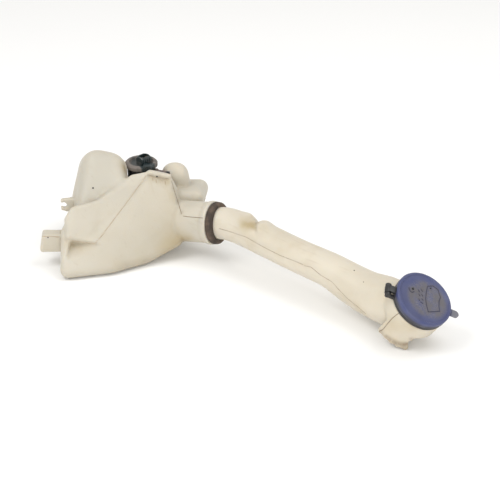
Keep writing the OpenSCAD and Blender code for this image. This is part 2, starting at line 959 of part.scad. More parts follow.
module windings() {
    color([0.7, 0.38, 0.2]) {
        in_pump() {
            for (z = [core_z + core_h + 0.1, core_z - 2.6]) {
                difference() {
                    translate([0, 0, z]) {
                        cylinder(h = 2.5, r = rotor_r - 1, $fn = 48);
                    }
                    translate([0, 0, z - 1]) {
                        cylinder(h = 6, r = 3, $fn = 32);
                    }
                }
            }
            for (k = [0:2]) {
                rotate([0, 0, 120 * k + 60]) {
                    translate([rotor_r * 0.6, 0, core_z - 0.2]) {
                        cylinder(h = core_h + 0.4, r = rotor_r * 0.26 - fit, $fn = 32);
                    }
                }
            }
        }
    }
}

module commutator() {
    color([0.72, 0.45, 0.26]) {
        in_pump() {
            difference() {
                translate([0, 0, comm_z]) {
                    cylinder(h = 6, r = 3.4, $fn = 40);
                }
                translate([0, 0, comm_z - 1]) {
                    cylinder(h = 10, r = shaft_r + 0.02, $fn = 32);
                }
                for (k = [0:2]) {
                    rotate([0, 0, 120 * k]) {
                        translate([2.6, -0.25, comm_z - 1]) {
                            cube([3, 0.5, 10]);
                        }
                    }
                }
            }
        }
    }
}

module motor_shaft() {
    color([0.7, 0.7, 0.72]) {
        in_pump() {
            translate([0, 0, house_z + 2.6]) {
                cylinder(h = top_z - house_z - 4, r = shaft_r, $fn = 32);
            }
        }
    }
}

module lower_bush() {
    color([0.62, 0.52, 0.33]) {
        in_pump() {
            difference() {
                translate([0, 0, part_z + 2 + fit]) {
                    cylinder(h = 3, r = 4, $fn = 32);
                }
                translate([0, 0, part_z]) {
                    cylinder(h = 10, r = shaft_r + bearing_gap, $fn = 32);
                }
            }
        }
    }
}

module upper_bush() {
    color([0.62, 0.52, 0.33]) {
        in_pump() {
            difference() {
                translate([0, 0, top_z - 4]) {
                    cylinder(h = 4, r = 4, $fn = 32);
                }
                translate([0, 0, top_z - 6]) {
                    cylinder(h = 10, r = shaft_r + bearing_gap, $fn = 32);
                }
            }
        }
    }
}

module brushes() {
    color([0.15, 0.15, 0.15]) {
        in_pump() {
            for (s = [0, 180]) {
                rotate([0, 0, s]) {
                    translate([3.4 + 0.2, -1.5, comm_z + 1.5]) {
                        cube([yoke_r - 1.4 - 3.8, 3, 3]);
                    }
                }
            }
        }
    }
}

module shaft_seal() {
    color([0.1, 0.1, 0.1]) {
        in_pump() {
            difference() {
                translate([0, 0, part_z]) {
                    cylinder(h = 2, r = shaft_r + 2.4 - fit, $fn = 32);
                }
                translate([0, 0, part_z - 1]) {
                    cylinder(h = 4, r = shaft_r + bearing_gap, $fn = 32);
                }
            }
        }
    }
}

module impeller() {
    color([0.82, 0.8, 0.72]) {
        in_pump() {
            difference() {
                union() {
                    translate([0, 0, house_z + 6]) {
                        cylinder(h = 1.4, d = impeller_d, $fn = 48);
                    }
                    translate([0, 0, house_z + 2.6]) {
                        cylinder(h = 4.8, r = shaft_r + 2, $fn = 32);
                    }
                    for (k = [0:5]) {
                        rotate([0, 0, 60 * k]) {
                            translate([shaft_r + 1, -0.6, house_z + 2.6]) {
                                cube([impeller_d / 2 - shaft_r - 1.6, 1.2, 3.8]);
                            }
                        }
                    }
                }
                translate([0, 0, house_z]) {
                    cylinder(h = 20, r = shaft_r + 0.02, $fn = 32);
                }
            }
        }
    }
}

tank();
neck_seal();
filler_neck();
cap_ring();
cap();
hinge_pin();
pump_grommet();
inlet_strainer();
inlet_cover();
pump_housing();
end_cap();
terminals();
motor_yoke();
magnets();
armature();
windings();
commutator();
motor_shaft();
lower_bush();
upper_bush();
brushes();
shaft_seal();
impeller();
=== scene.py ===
# %% [markdown]
# # A washer fluid reservoir
# The object is a vehicle's washer tank: a blown plastic tank with a long filler neck, a hinged blue
# cap, a rubber seal between tank and neck, and an electric pump that stands in a recess at the back.
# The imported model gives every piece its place, in metres. This lesson dresses it, piece by piece.

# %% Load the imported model
import json
import math

import bmesh
import bpy
import numpy as np
from mathutils import Matrix, Vector
from mathutils.bvhtree import BVHTree


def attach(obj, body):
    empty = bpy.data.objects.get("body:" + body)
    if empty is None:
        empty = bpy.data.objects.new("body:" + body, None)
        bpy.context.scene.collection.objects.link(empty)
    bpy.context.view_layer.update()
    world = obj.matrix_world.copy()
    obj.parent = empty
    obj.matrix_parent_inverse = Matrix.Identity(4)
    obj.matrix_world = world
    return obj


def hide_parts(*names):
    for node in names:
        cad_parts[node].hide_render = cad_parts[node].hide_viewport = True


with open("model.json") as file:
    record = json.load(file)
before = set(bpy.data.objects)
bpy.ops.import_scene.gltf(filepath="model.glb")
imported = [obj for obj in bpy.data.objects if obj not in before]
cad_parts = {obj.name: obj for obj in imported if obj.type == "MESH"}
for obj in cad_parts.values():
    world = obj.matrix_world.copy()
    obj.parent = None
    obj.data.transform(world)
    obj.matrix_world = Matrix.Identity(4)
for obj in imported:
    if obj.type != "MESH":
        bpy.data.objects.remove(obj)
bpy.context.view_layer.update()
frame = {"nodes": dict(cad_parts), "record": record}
MM = 0.001
scene = bpy.context.scene

# %% [markdown]
# ## Camera
# The photograph was taken from above and to the front, with the cap nearer than the tank. A long lens
# is given, because helpers that frame the object would not give the photograph's own frame.

# %% Camera at the photograph's angle
AZIMUTH = math.radians(41.8)
ELEVATION = math.radians(28.0)
DISTANCE = 1.590
FOCUS_PX = 1428.6
FRAME_PX = 500
LOOK_AT = Vector((-0.0423, 0.0827, 0.0))

view_back = Vector((math.sin(AZIMUTH) * math.cos(ELEVATION), -math.cos(AZIMUTH) * math.cos(ELEVATION),
                    math.sin(ELEVATION)))
view_right = Vector((math.cos(AZIMUTH), math.sin(AZIMUTH), 0.0))
view_up = view_back.cross(view_right)
eye = LOOK_AT + view_back * DISTANCE

camera = bpy.data.objects.new("camera", bpy.data.cameras.new("camera"))
camera.data.sensor_width = 36.0
camera.data.lens = 36.0 * FOCUS_PX / FRAME_PX
camera.data.clip_start, camera.data.clip_end = 0.05, 20.0
camera.location = eye
camera.rotation_mode = "QUATERNION"
camera.rotation_quaternion = (-view_back).to_track_quat("-Z", "Y")
scene.collection.objects.link(camera)
scene.camera = camera


def photo_ray(px, py):
    """Direction from the eye through a place in the 500 by 500 frame."""
    half = FRAME_PX / 2
    return (view_right * (px - half) - view_up * (py - half) - view_back * FOCUS_PX).normalized()


print("camera lens %.1f mm" % camera.data.lens)

# %% [markdown]
# ## Floor and light
# The photograph is a bright cut-out, so the studio is plain: a pale floor, an even pale sky, and three
# large soft lamps that give the round forms their shading. Small hard lamps would add shadows that
# the photograph doesn't have.

# %% Floor, sky and lamps
scene.view_settings.view_transform = "Standard"
scene.view_settings.look = "None"

world = bpy.data.worlds.new("studio_sky")
world.use_nodes = True
world.node_tree.nodes["Background"].inputs["Color"].default_value = (1.0, 0.99, 0.97, 1.0)
world.node_tree.nodes["Background"].inputs["Strength"].default_value = 0.72
scene.world = world

floor_mesh = bpy.data.meshes.new("studio_floor")
FLOOR = 6.0
floor_mesh.from_pydata([(-FLOOR, -FLOOR, 0), (FLOOR, -FLOOR, 0), (FLOOR, FLOOR, 0), (-FLOOR, FLOOR, 0)],
                       [], [(0, 1, 2, 3)])
floor = bpy.data.objects.new("studio_floor", floor_mesh)
floor.location.z = -0.0004
scene.collection.objects.link(floor)


def soft_lamp(name, place, aim, size, power):
    lamp = bpy.data.lights.new(name, "AREA")
    lamp.shape = "DISK"
    lamp.size = size
    lamp.energy = power
    obj = bpy.data.objects.new(name, lamp)
    obj.location = place
    obj.rotation_mode = "QUATERNION"
    obj.rotation_quaternion = (Vector(place) - Vector(aim)).to_track_quat("Z", "Y")
    scene.collection.objects.link(obj)
    return obj


soft_lamp("key_lamp", (-0.5, -0.9, 1.5), (0.0, 0.0, 0.05), 1.0, 10.0)
soft_lamp("top_lamp", (0.5, 0.6, 1.6), (0.0, 0.0, 0.05), 1.2, 9.0)
soft_lamp("front_fill", (0.9, -1.0, 0.30), (0.05, 0.0, 0.03), 1.2, 9.0)
print("floor and lamps ready")

# %% [markdown]
# ## Finishes
# Each finish is a small node tree: a base colour that drifts with noise, a roughness that drifts too,
# and a fine bump. Object coordinates carry the patterns, so they stay on the piece when it moves.
# A number that is the same all over is typed on the shader's own socket.


# %% A helper that starts a finish
class Finish:
    """A material with one principled shader, and short calls for the nodes that feed it."""

    def __init__(self, name, colour, roughness):
        self.mat = bpy.data.materials.new(name)
        self.mat.use_nodes = True
        self.tree = self.mat.node_tree
        self.shader = self.tree.nodes["Principled BSDF"]
        self.set("Base Color", (*colour, 1.0))
        self.set("Roughness", roughness)
        self.coords = self.tree.nodes.new("ShaderNodeTexCoord").outputs["Object"]

    def set(self, socket, value):
        self.shader.inputs[socket].default_value = value

    def node(self, kind, **values):
        made = self.tree.nodes.new(kind)
        for key, value in values.items():
            setattr(made, key, value)
        return made

    def link(self, source, target):
        self.tree.links.new(source, target)
        return target

    def noise(self, scale, detail=3.0, stretch=(1.0, 1.0, 1.0), shift=(0.0, 0.0, 0.0)):
        place = self.node("ShaderNodeMapping")
        place.inputs["Scale"].default_value = stretch
        place.inputs["Location"].default_value = shift
        self.link(self.coords, place.inputs["Vector"])
        made = self.node("ShaderNodeTexNoise")
        made.inputs["Scale"].default_value = scale
        made.inputs["Detail"].default_value = detail
        self.link(place.outputs["Vector"], made.inputs["Vector"])
        return made.outputs["Fac"]

    def span(self, value, low, high, to_low=0.0, to_high=1.0):
        made = self.node("ShaderNodeMapRange", interpolation_type="SMOOTHSTEP")
        limits = {"From Min": low, "From Max": high, "To Min": to_low, "To Max": to_high}
        for socket, number in limits.items():
            made.inputs[socket].default_value = number
        self.link(value, made.inputs["Value"])
        return made.outputs["Result"]

    def maths(self, operation, a, b):
        made = self.node("ShaderNodeMath", operation=operation, use_clamp=operation in ("ADD", "MULTIPLY"))
        for index, item in enumerate((a, b)):
            if isinstance(item, (int, float)):
                made.inputs[index].default_value = item
            else:
                self.link(item, made.inputs[index])
        return made.outputs["Value"]

    def near(self, middle, inner, outer):
        """One inside a ball about a place, falling to nought outside it."""
        away = self.node("ShaderNodeVectorMath", operation="DISTANCE")
        self.link(self.coords, away.inputs[0])
        away.inputs[1].default_value = middle
        return self.span(away.outputs["Value"], inner, outer, 1.0, 0.0)

    def column(self, middle, inner, outer):
        """One inside an upright column about a place, falling to nought outside it."""
        flat = self.node("ShaderNodeVectorMath", operation="MULTIPLY")
        self.link(self.coords, flat.inputs[0])
        flat.inputs[1].default_value = (1.0, 1.0, 0.0)
        away = self.node("ShaderNodeVectorMath", operation="DISTANCE")
        self.link(flat.outputs["Vector"], away.inputs[0])
        away.inputs[1].default_value = (middle.x, middle.y, 0.0)
        return self.span(away.outputs["Value"], inner, outer, 1.0, 0.0)

    def attribute(self, name):
        made = self.node("ShaderNodeAttribute", attribute_name=name, attribute_type="GEOMETRY")
        return made.outputs["Fac"]

    def tint(self, share, first, second):
        made = self.node("ShaderNodeMix", data_type="RGBA")
        self.link(share, made.inputs["Factor"])
        for index, item in ((6, first), (7, second)):
            if isinstance(item, tuple):
                made.inputs[index].default_value = (*item, 1.0)
            else:
                self.link(item, made.inputs[index])
        return made.outputs[2]

    def colour(self, value):
        self.link(value, self.shader.inputs["Base Color"])

    def rough(self, value):
        self.link(value, self.shader.inputs["Roughness"])

    def bump(self, height, strength, depth):
        made = self.node("ShaderNodeBump")
        made.inputs["Strength"].default_value = strength
        made.inputs["Distance"].default_value = depth
        self.link(height, made.inputs["Height"])
        self.link(made.outputs["Normal"], self.shader.inputs["Normal"])


print("finish helper ready")

# %% [markdown]
# The floor's paint is the plainest finish: a pale matt grey with a trace of drift.

# %% Floor paint
floor_paint = Finish("floor_paint", (0.93, 0.93, 0.92), 0.9)
floor_paint.colour(floor_paint.tint(floor_paint.noise(1.5), (0.92, 0.92, 0.915), (0.945, 0.945, 0.94)))
floor_mesh.materials.append(floor_paint.mat)
print("floor paint ready")

# %% [markdown]
# The tank and the neck are natural polyethylene, milky and a little translucent, gone yellow with age.
# Light enters such a wall and comes out nearby, so the shader scatters some of it below the surface.
# Three painted attributes steer it: grime for the brown dirt in creases, stain for the yellowed places
# and chalk for the grey-white ones. All three also carry painted shade: grime and stain in creases, hollows
# and at the tank's bottom edge, chalk at the tank's bottom edge, where chalk also paints the dome lighter.
# Fine streaks and scratches come from noise stretched along one way.

# %% Natural plastic
natural = Finish("natural_plastic", (0.74, 0.68, 0.56), 0.46)
drift = natural.noise(14.0, 4.0)
mottle = natural.noise(55.0, 5.0, shift=(3.1, 0.7, 1.9))
cream = natural.tint(natural.span(drift, 0.35, 0.68), (0.628, 0.572, 0.474), (0.578, 0.524, 0.426))
cloudy = natural.tint(natural.span(mottle, 0.48, 0.75, 0.0, 0.42), cream, (0.535, 0.468, 0.356))
# The grey, yellow and brown tints below mix real tone with painted shade, and the grey one also with a
# painted lighter dome.
chalk_light_and_shade_tint = natural.tint(natural.attribute("chalk_light_and_shade"), cloudy, (0.494, 0.464, 0.394))
uneven = natural.span(mottle, 0.2, 0.6, 0.6, 1.0)
stain_and_shade_share = natural.maths("MULTIPLY", natural.attribute("stain_and_shade"), uneven)
yellowed_and_shaded = natural.tint(stain_and_shade_share, chalk_light_and_shade_tint, (0.408, 0.326, 0.186))
streaks = natural.noise(26.0, 6.0, stretch=(1.0, 9.0, 6.0), shift=(0.2, 1.1, 0.3))
streaked = natural.tint(natural.span(streaks, 0.60, 0.78, 0.0, 0.22), yellowed_and_shaded, (0.400, 0.325, 0.225))
grime_and_shade_noise = natural.span(natural.noise(140.0, 6.0, shift=(0.4, 2.2, 0.9)), 0.32, 0.62, 0.35, 1.0)
grime_and_shade_share = natural.maths("MULTIPLY", natural.attribute("grime_and_shade"), grime_and_shade_noise)
natural.colour(natural.tint(grime_and_shade_share, streaked, (0.165, 0.112, 0.062)))
natural.rough(natural.span(natural.noise(38.0, 3.0, shift=(1.3, 0.2, 5.0)), 0.3, 0.7, 0.40, 0.56))
natural.set("Subsurface Weight", 0.22)
natural.set("Subsurface Radius", (1.0, 0.72, 0.42))
natural.set("Subsurface Scale", 0.006)
natural.set("Specular IOR Level", 0.38)
scratches = natural.noise(70.0, 2.0, stretch=(1.0, 14.0, 14.0), shift=(5.0, 2.0, 0.4))
relief = natural.maths("ADD", natural.noise(520.0, 3.0), natural.span(scratches, 0.62, 0.70, 0.0, 0.35))
natural.bump(relief, 0.14, 0.0006)
print("natural plastic ready")

# %% [markdown]
# Two helpers make most of the other finishes. One lays dust in patches over a base colour, as on the brown
# rubber and the satin black plastic. The other gives the dull metals of the terminals and the motor.


# %% Dusty finishes and metals
def dusty(name, base, dust, roughness, share_low, share_high, scale):
    made = Finish(name, base, roughness)
    patch = made.noise(scale, 5.0)
    fine = made.noise(scale * 9.0, 4.0, shift=(2.0, 4.0, 1.0))
    broad = made.span(patch, 0.36, 0.66, share_low, share_high)
    share = made.maths("MULTIPLY", broad, made.span(fine, 0.3, 0.6, 0.6, 1.0))
    made.colour(made.tint(share, base, dust))
    made.rough(made.span(patch, 0.36, 0.66, roughness, min(1.0, roughness + 0.25)))
    made.bump(fine, 0.15, 0.0004)
    return made


def metal(name, base, roughness):
    made = Finish(name, base, roughness)
    made.set("Metallic", 1.0)
    lines = made.noise(90.0, 4.0, stretch=(1.0, 1.0, 9.0))
    darker = tuple(0.72 * channel for channel in base)
    made.colour(made.tint(made.span(lines, 0.3, 0.7), base, darker))
    made.rough(made.span(lines, 0.3, 0.7, roughness, roughness + 0.15))
    return made


print("dust and metal helpers ready")

# %% [markdown]
# The cap is blue, with a film of brown dust on its sunken face, where a hand doesn't wipe it, and soot
# on its side wall, darkened further with painted shade. Its thumb tab is worn grey, and its hinge knuckle
# is black. Balls about a few places on the cap, and the height along the mouth's axis, tell these zones
# apart.

# %% Cap
HINGE_AT = Vector((188.6, 25.8, 60.2)) * MM
MOUTH_AT = Vector((214.893, 48.772, 49.595)) * MM
MOUTH_UP = Vector((0.57877, -0.02426, 0.81513))
FACE_AT = MOUTH_AT + MOUTH_UP * 1.95 * MM
DUST_AT = FACE_AT + view_right * 3.5 * MM

cap_blue = Finish("blue_plastic", (0.060, 0.066, 0.175), 0.36)
blotch = cap_blue.noise(70.0, 6.0)
inside = cap_blue.near(DUST_AT, 0.016, 0.0245)
blotchy = cap_blue.span(blotch, 0.34, 0.62, 0.25, 0.95)
film = cap_blue.maths("MULTIPLY", blotchy, cap_blue.maths("ADD", inside, 0.22))
hue_share = cap_blue.span(cap_blue.noise(30.0), 0.3, 0.7)
hue = cap_blue.tint(hue_share, (0.036, 0.048, 0.150), (0.062, 0.074, 0.172))
powder_grain = cap_blue.span(cap_blue.noise(900.0, 4.0), 0.42, 0.66, 0.0, 0.55)
dusted = cap_blue.tint(cap_blue.maths("MULTIPLY", powder_grain, inside), hue, (0.230, 0.215, 0.215))
dull = cap_blue.tint(film, dusted, (0.108, 0.101, 0.108))
offset = cap_blue.node("ShaderNodeVectorMath", operation="SUBTRACT")
cap_blue.link(cap_blue.coords, offset.inputs[0])
offset.inputs[1].default_value = FACE_AT
rise_on_cap = cap_blue.node("ShaderNodeVectorMath", operation="DOT_PRODUCT")
cap_blue.link(offset.outputs["Vector"], rise_on_cap.inputs[0])
rise_on_cap.inputs[1].default_value = MOUTH_UP
# The lower side wall is darkened: soot, and painted shade under the cap's rim.
side_share = cap_blue.span(rise_on_cap.outputs["Value"], -0.0046, -0.0012, 0.85, 0.0)
on_rim = cap_blue.maths("MULTIPLY", cap_blue.near(FACE_AT, 0.0320, 0.0335), side_share)
side_soot_and_shade = cap_blue.maths("MULTIPLY", on_rim, cap_blue.span(blotch, 0.25, 0.55, 0.6, 1.0))
sooty_and_shaded = cap_blue.tint(side_soot_and_shade, dull, (0.040, 0.037, 0.038))
worn = cap_blue.tint(cap_blue.near(FACE_AT, 0.0325, 0.0345), (0.160, 0.160, 0.185), sooty_and_shaded)
cap_blue.colour(cap_blue.tint(cap_blue.near(HINGE_AT, 0.0085, 0.0095), worn, (0.014, 0.014, 0.015)))
cap_blue.rough(cap_blue.span(blotch, 0.34, 0.62, 0.32, 0.62))
cap_blue.bump(cap_blue.noise(420.0, 3.0), 0.12, 0.0004)
print("cap finish ready")

# %% [markdown]
# The pump's rim is grey with dust, and its connector is clean, so the dust stops at a height. A column
# inside the rim and a ball about the latch are wiped dark. Of the pump's body only the outlet is dusty.

# %% Pump's top and body
PUMP_AT = Vector((-158.832, 32.265, 88.0)) * MM
LATCH_AT = Vector((-145.9, 28.6, 88.0)) * MM
OUTLET_AT = Vector((-136.5, 40.3, 80.2)) * MM

pump_top = Finish("dark_plastic", (0.016, 0.022, 0.025), 0.30)
grains = pump_top.noise(110.0, 5.0)
height = pump_top.node("ShaderNodeSeparateXYZ")
pump_top.link(pump_top.coords, height.inputs[0])
rim_share = pump_top.span(height.outputs["Z"], 0.0905, 0.0920, 1.0, 0.0)
inside_rim = pump_top.maths("MULTIPLY", pump_top.column(PUMP_AT, 0.0112, 0.0130), 0.80)
wiped = pump_top.maths("MAXIMUM", inside_rim, pump_top.near(LATCH_AT, 0.0080, 0.0098))
dusty_rim = pump_top.maths("MULTIPLY", rim_share, pump_top.maths("SUBTRACT", 1.0, wiped))
grain_share = pump_top.span(grains, 0.30, 0.60, 0.35, 1.0)
powder = pump_top.maths("MULTIPLY", grain_share, pump_top.maths("ADD", dusty_rim, 0.03))
pump_top.colour(pump_top.tint(powder, (0.012, 0.022, 0.024), (0.190, 0.166, 0.150)))
pump_top.rough(pump_top.maths("ADD", powder, 0.26))
pump_top.bump(grains, 0.2, 0.0004)

pump_body = Finish("pump_body", (0.012, 0.012, 0.014), 0.45)
flecks = pump_body.noise(120.0, 5.0)
on_outlet = pump_body.maths("MULTIPLY", pump_body.near(OUTLET_AT, 0.0060, 0.0090),
                            pump_body.span(flecks, 0.30, 0.60, 0.55, 1.0))
pump_body.colour(pump_body.tint(on_outlet, (0.012, 0.012, 0.014), (0.165, 0.124, 0.108)))
pump_body.rough(pump_body.span(flecks, 0.30, 0.60, 0.40, 0.65))
print("pump finishes ready")

# %% [markdown]
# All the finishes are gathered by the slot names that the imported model's record uses. The pump's housing
# has one of its own, because only its outlet is dusty.

# %% Give every node its finish
FINISHES = {
    "natural_plastic": natural,
    "brown_rubber": dusty("brown_rubber", (0.030, 0.020, 0.014), (0.150, 0.106, 0.076),
                          0.72, 0.05, 1.0, 75.0),
    "black_rubber": dusty("black_rubber", (0.018, 0.018, 0.018), (0.085, 0.078, 0.070),
                          0.75, 0.0, 0.5, 60.0),
    "blue_plastic": cap_blue,
    "black_plastic": dusty("black_plastic", (0.012, 0.012, 0.014), (0.070, 0.065, 0.062),
                           0.42, 0.05, 0.60, 70.0),
    "dark_plastic": pump_top,
    "white_plastic": dusty("white_plastic", (0.690, 0.680, 0.610), (0.520, 0.480, 0.390),
                           0.50, 0.10, 0.60, 50.0),
    "brass": metal("brass", (0.260, 0.200, 0.115), 0.45),
    "steel": metal("steel", (0.420, 0.425, 0.435), 0.35),
    "ferrite": dusty("ferrite", (0.025, 0.025, 0.027), (0.060, 0.058, 0.056),
                     0.65, 0.1, 0.6, 80.0),
    "copper": metal("copper", (0.560, 0.230, 0.095), 0.32),
    "bronze": metal("bronze", (0.360, 0.240, 0.095), 0.42),
    "carbon": dusty("carbon", (0.020, 0.020, 0.020), (0.055, 0.055, 0.055),
                    0.60, 0.1, 0.6, 90.0),
    "pump_housing": pump_body,
}
slot_of = {part["node"]: part["material_slot"] for part in frame["record"]["subparts"]}
for node, obj in frame["nodes"].items():
    obj.data.materials.clear()
    finish = FINISHES.get(node, FINISHES[slot_of[node]])
    obj.data.materials.append(finish.mat)
print("finishes:", len(FINISHES))

# %% [markdown]
# ## Blown plastic skins
# A blown tank has no sharp inside corners: the hot parison stretches over them. The solids meet in
# creases, so each is copied, remeshed in fine voxels, and relaxed, which melts the creases into soft
# blends. Thin features keep their edges, because they are relaxed less.


# %% Helpers for meshes
def add_piece(name, mesh, finish):
    """A new object for a mesh, with one finish."""
    obj = bpy.data.objects.new(name, mesh)
    mesh.materials.clear()
    mesh.materials.append(FINISHES[finish].mat)
    scene.collection.objects.link(obj)
    return obj


def merged_copy(node, name):
    """A copy of a node's mesh with its loose triangles joined up."""
    mesh = frame["nodes"][node].data.copy()
    mesh.name = name
    work = bmesh.new()
    work.from_mesh(mesh)
    bmesh.ops.remove_doubles(work, verts=work.verts, dist=2e-6)
    work.to_mesh(mesh)
    work.free()
    return mesh


def baked(obj):
    """The mesh of an object with its modifiers worked in."""
    graph = bpy.context.evaluated_depsgraph_get()
    return bpy.data.meshes.new_from_object(obj.evaluated_get(graph))


def places(mesh):
    co = np.empty(len(mesh.vertices) * 3)
    mesh.vertices.foreach_get("co", co)
    return co.reshape(-1, 3)


def set_places(mesh, co):
    mesh.vertices.foreach_set("co", co.ravel())
    mesh.update()


print("mesh helpers ready")

# %% [markdown]
# A skin is made in four steps. Small balls are added where two walls should run together, the whole is
# remeshed in voxels, its points are relaxed, and the faces are thinned out where they lie flat. The points
# are moved as one array of numbers, because each of them then has its own share of the smoothing.


# %% Make a blown skin
def relax(co, edges, rounds, share):
    """Moves each point part of the way to the middle of its neighbours, share per point."""
    count = np.bincount(edges.ravel(), minlength=len(co))[:, None]
    for _ in range(rounds):
        total = np.zeros_like(co)
        for axis in range(3):
            total[:, axis] = (np.bincount(edges[:, 0], co[edges[:, 1], axis], len(co))
                              + np.bincount(edges[:, 1], co[edges[:, 0], axis], len(co)))
        co = co + share[:, None] * (total / np.maximum(count, 1) - co)
    return co


def with_webs(mesh, webs):
    """Adds small balls of plastic, each a place and a radius, which the remesh then joins to the wall."""
    work = bmesh.new()
    work.from_mesh(mesh)
    for place, radius in webs:
        bmesh.ops.create_icosphere(work, subdivisions=3, radius=radius, matrix=Matrix.Translation(place))
    work.to_mesh(mesh)
    work.free()


MELT_ROUNDS = 60


def blown_skin(node, name, voxel, rounds, give, keep_faces, melt=None, webs=()):
    """A copy of a solid in fine voxels, relaxed as far as each point gives, then thinned to fewer faces."""
    mesh = merged_copy(node, name + "_solid")
    with_webs(mesh, webs)
    solid = add_piece(name + "_solid", mesh, "natural_plastic")
    remesh = solid.modifiers.new("voxels", "REMESH")
    remesh.mode = "VOXEL"
    remesh.voxel_size = voxel
    fine = baked(solid)
    bpy.data.objects.remove(solid)
    co = places(fine)
    edges = np.empty(len(fine.edges) * 2, np.int64)
    fine.edges.foreach_get("vertices", edges)
    edges = edges.reshape(-1, 2)
    co = relax(co, edges, rounds, 0.5 * give(co))
    if melt:
        co = relax(co, edges, MELT_ROUNDS, 0.5 * melt(co))
    set_places(fine, co)
    skin = add_piece(name, fine, "natural_plastic")
    thin = skin.modifiers.new("thin", "DECIMATE")
    thin.ratio = keep_faces
    light = baked(skin)
    light.name = name
    skin.modifiers.clear()
    skin.data = light
    light.shade_smooth()
    print(name, "faces", len(light.polygons))
    return skin


print("skin helper ready")

# %% [markdown]
# Places on the tank are given in the tank's own frame, in millimetres. It is turned against the model's
# frame, and its x axis runs from the locating lug to the socket, which makes limits along it easy to read.

# %% The tank's own frame
TANK_TURN = math.radians(41.8)
SOCKET_AT = Vector((167.1, 47.4, 0.0))
MIDDLE = Vector((60.4, -47.3, 0.0))


def from_tank(x, y, z):
    """A place in the tank's own frame, in millimetres, as a place in the model, in metres."""
    turned = Matrix.Rotation(TANK_TURN, 3, "Z") @ (Vector((x, y, z)) - SOCKET_AT) - MIDDLE
    return turned * MM


def to_tank(co):
    """The other way round, for many places at once."""
    moved = co / MM + np.array(MIDDLE)
    c, s = math.cos(TANK_TURN), math.sin(TANK_TURN)
    return np.stack([c * moved[:, 0] + s * moved[:, 1] + SOCKET_AT.x,
                     -s * moved[:, 0] + c * moved[:, 1] + SOCKET_AT.y, moved[:, 2]], 1)


def clear_of(p, middle, reach):
    """Nought at a place, rising to one at a reach from it."""
    return np.clip(np.linalg.norm(p - np.array(middle), axis=1) / reach, 0.0, 1.0)


print("tank's origin at", [round(v, 4) for v in from_tank(0, 0, 0)])

# %% [markdown]
# The tank's thin features are the hose clip, the ledge over the panel and the locating lug. They give
# less than the walls, and so does the socket, which has to fit the seal. The high lobe is melted longer
# than the rest, since it blew out far and shows no ridge at all. Beside the pump it keeps its place, and
# a small swelling there closes up to the pump's rim.

# %% Tank skin
SOCKET_MIDDLE, SOCKET_REACH = (160.0, 51.0, 40.0), 34.0
LEDGE_MIDDLE, LEDGE_REACH = (106.0, 66.0, 90.5), 14.0
PUMP_SIDE, PUMP_SIDE_REACH = (66.5, 88.5, 89.0), 16.0


def tank_give(co):
    """How freely each point of the tank is relaxed, from nought to one."""
    p = to_tank(co)
    give = np.ones(len(p))
    give[p[:, 0] < 1.0] = 0.25
    clip = (p[:, 0] < 12) & (p[:, 1] > 56) & (p[:, 1] < 72) & (p[:, 2] > 42) & (p[:, 2] < 68)
    give[clip] = 0.06
    give[clear_of(p, SOCKET_MIDDLE, SOCKET_REACH) < 1.0] = 0.3
    give[clear_of(p, LEDGE_MIDDLE, LEDGE_REACH) < 1.0] = 0.25
    return give


def lobe_melt(co):
    """One on the high lobe, nought elsewhere, on the hose clip and beside the pump."""
    p = to_tank(co)
    above = np.clip((p[:, 2] - 64.0) / 14.0, 0.0, 1.0)
    beside = np.clip((76.0 - p[:, 0]) / 8.0, 0.0, 1.0) * np.clip((p[:, 1] - 46.0) / 10.0, 0.0, 1.0)
    clip = (p[:, 0] < 12) & (p[:, 2] < 70)
    return above * beside * ~clip * clear_of(p, PUMP_SIDE, PUMP_SIDE_REACH) ** 2


def ball(x, y, z, radius):
    """A place and a radius, typed in millimetres and returned in metres."""
    return Vector((x, y, z)) * MM, radius * MM


PUMP_WALL = [ball(-164.0, 10.8, 94.0, 3.0), ball(-163.0, 10.8, 90.5, 3.0),
             ball(-162.2, 10.8, 87.0, 3.0), ball(-161.4, 10.8, 83.5, 3.0)]
tank = blown_skin("tank", "tank_skin", voxel=1.15 * MM, rounds=13, give=tank_give, keep_faces=0.5,
                  melt=lobe_melt, webs=PUMP_WALL)

# %% [markdown]
# The neck is relaxed less: its tube is already a smooth sweep, and only the meeting of tube, bowl
# and apron needs a blend. Two small webs, made of balls that the remesh joins, close the crevices where
# the tube runs into the bowl.


# %% Neck skin
def neck_give(co):
    """The end in the seal is relaxed less, so that it keeps its fit."""
    give = np.ones(len(co))
    give[co[:, 0] / MM < -40] = 0.4
    return give


WEBS = [ball(188.0, 66.5, 19.0, 4.2), ball(189.0, 71.0, 24.5, 3.0), ball(187.4, 62.0, 15.5, 3.8),
        ball(187.0, 58.0, 13.5, 3.2), ball(187.6, 36.0, 16.7, 4.0), ball(187.2, 41.0, 14.5, 3.4)]
neck = blown_skin("filler_neck", "neck_skin", voxel=1.1 * MM, rounds=9, give=neck_give, keep_faces=0.55,
                  webs=WEBS)

# %% [markdown]
# ## Places on the skins
# Seams, specks and stains are placed by looking through the camera: a place in the frame gives a ray,
# and the ray's first hit on a skin gives the place on the piece. What is placed so lies on the surface,
# and it stays true from every other side.


# %% From the frame to a skin
def tree_of(obj):
    """A search tree over the faces of a piece."""
    mesh = obj.data
    return BVHTree.FromPolygons([v.co for v in mesh.vertices], [p.vertices for p in mesh.polygons])


trees = {"tank": tree_of(tank), "neck": tree_of(neck)}


def spot(skin, px, py):
    """The place on a skin that shows at a place in the frame, or None."""
    place, _, _, _ = trees[skin].ray_cast(eye, photo_ray(px, py))
    return place


